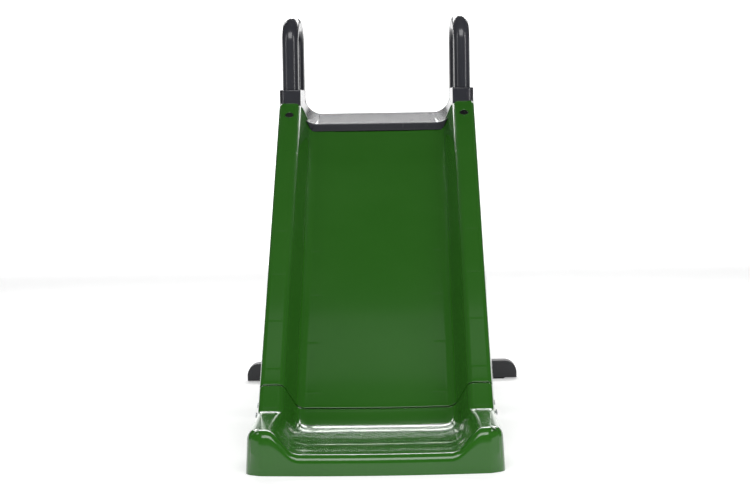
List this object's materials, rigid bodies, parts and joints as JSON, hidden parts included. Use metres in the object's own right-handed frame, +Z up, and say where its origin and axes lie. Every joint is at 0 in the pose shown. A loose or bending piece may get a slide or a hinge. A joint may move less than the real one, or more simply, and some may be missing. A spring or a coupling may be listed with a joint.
{
  "type": "straight slide",
  "caption": "Toddler slide: straight chute with side rails, separate runout, platform with looped handrails and a fold-under ladder.",
  "frame": {"origin": "on the floor, at the middle of the slide's footprint", "axes": "+Z up, -Y towards the runout, +Y towards the ladder, +X to the right seen from the runout"},
  "size_m": [0.586, 1.23, 0.784],
  "materials": {
    "green_plastic": "glossy moulded polyethylene",
    "anthracite_plastic": "glossy moulded polyethylene",
    "ladder_plastic": "fine-grained moulded polyethylene",
    "rubber": "matte",
    "black_steel": "black coated",
    "zinc_steel": "zinc plated",
    "nylon": "natural"
  },
  "bodies": {
    "slide": {"base_pads": "rubber", "chute": "green_plastic", "handrail_left": "anthracite_plastic", "handrail_right": "anthracite_plastic", "handrail_screws": "black_steel", "hinge_clips": "zinc_steel", "hinge_pins": "zinc_steel", "hinge_washers": "nylon", "joint_screws": "zinc_steel", "ladder_stops": "rubber", "rail_bolts": "black_steel", "rail_nuts": "zinc_steel", "rail_washers": "zinc_steel", "runout": "green_plastic", "saddle": "anthracite_plastic"},
    "ladder": {"ladder_leg_left": "ladder_plastic", "ladder_leg_right": "ladder_plastic", "step_lower": "ladder_plastic", "step_middle": "ladder_plastic", "step_upper": "ladder_plastic", "step_screws": "zinc_steel", "foot_bar": "ladder_plastic", "foot_screws": "zinc_steel", "foot_pads": "rubber"}
  },
  "joints": [
    {"name": "ladder_fold", "type": "hinge", "parent": "slide", "child": "ladder", "pos_m": [0, 0.481, 0.525], "axis": [-1, 0, 0], "range_deg": [0, 68]}
  ]
}
